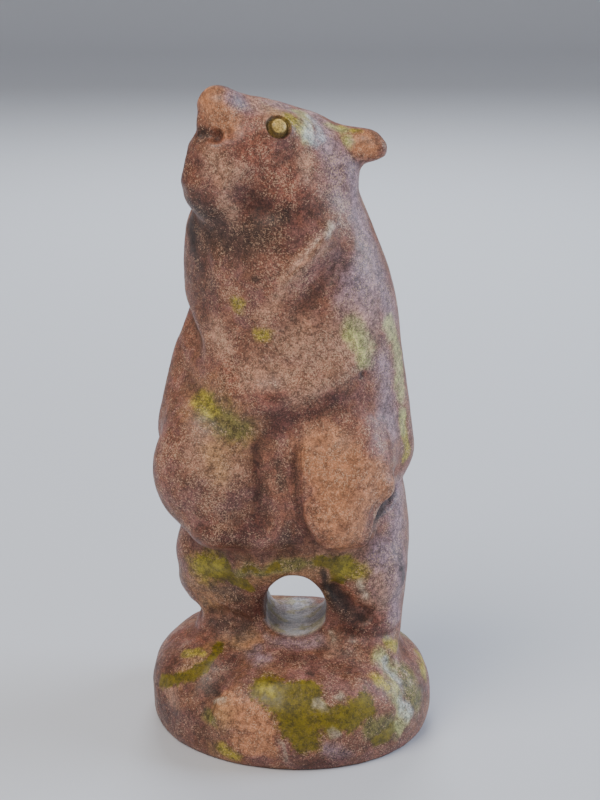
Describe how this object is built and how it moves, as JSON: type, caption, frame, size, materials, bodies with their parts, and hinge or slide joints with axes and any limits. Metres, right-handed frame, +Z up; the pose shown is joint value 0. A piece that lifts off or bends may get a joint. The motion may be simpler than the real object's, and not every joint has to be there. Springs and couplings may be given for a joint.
{
  "type": "carved stone bear figurine",
  "caption": "Small standing bear with a raised, turned head, carved with its rounded base from one block of speckled pink-brown and olive stone.",
  "frame": {"origin": "middle of the base's flat underside, on the surface that the carving stands on", "axes": "+Z up through the standing bear; the bear's chest faces -Y and its left side is +X"},
  "size_m": [0.0406, 0.0395, 0.0911],
  "materials": {
    "stone": "satin polished, speckled pink-brown stone with olive, yellow-green and pale green patches"
  },
  "bodies": {
    "root": {"bear_carving": "stone"}
  },
  "joints": []
}
